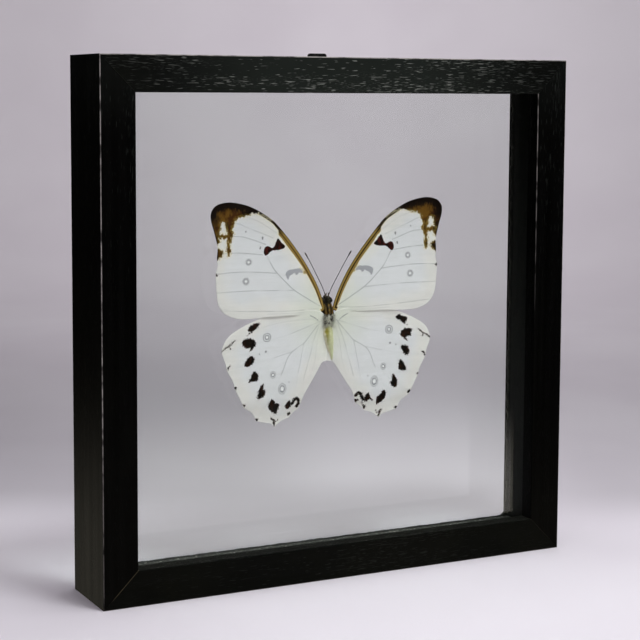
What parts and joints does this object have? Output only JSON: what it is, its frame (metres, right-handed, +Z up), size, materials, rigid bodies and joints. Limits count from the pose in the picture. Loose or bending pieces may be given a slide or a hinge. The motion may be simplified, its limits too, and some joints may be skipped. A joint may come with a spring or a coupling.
{
  "type": "framed butterfly specimen",
  "caption": "White butterfly with spread wings, glued by its body between clear panes in a deep black wooden box frame that stands or hangs.",
  "frame": {"origin": "centre of the frame's underside, where the bottom rail stands on a surface", "axes": "+Z up along the frame's height, +Y from the front glass to the back, +X to the right seen from the front"},
  "size_m": [0.25, 0.04, 0.2545],
  "materials": {
    "black_wood": "open-grained wood stained black, satin",
    "clear_glass": "clear flat glass",
    "black_board": "matte black board",
    "black_sealant": "black sealant, satin",
    "black_iron": "black lacquered sheet steel with worn edges",
    "zinc_steel": "zinc-plated steel",
    "fore_wing": "pearly white wing scales with dark brown tips",
    "hind_wing": "pearly white wing scales with black spots",
    "insect_body": "brown head, grey haired thorax and pale olive abdomen",
    "antenna_horn": "dark brown horn",
    "dried_glue": "dried clear glue"
  },
  "bodies": {
    "root": {"rail_top": "black_wood", "rail_bottom": "black_wood", "rail_left": "black_wood", "rail_right": "black_wood", "front_glass": "clear_glass", "rear_glass": "clear_glass", "spacer_top": "black_board", "spacer_bottom": "black_board", "spacer_left": "black_board", "spacer_right": "black_board", "sealant_top": "black_sealant", "sealant_bottom": "black_sealant", "sealant_left": "black_sealant", "sealant_right": "black_sealant", "hanging_plate": "black_iron", "plate_screw_left": "zinc_steel", "plate_screw_right": "zinc_steel", "butterfly_body": "insect_body", "forewing_left": "fore_wing", "forewing_right": "fore_wing", "hindwing_left": "hind_wing", "hindwing_right": "hind_wing", "antenna_left": "antenna_horn", "antenna_right": "antenna_horn", "glue_drop": "dried_glue"}
  },
  "joints": []
}
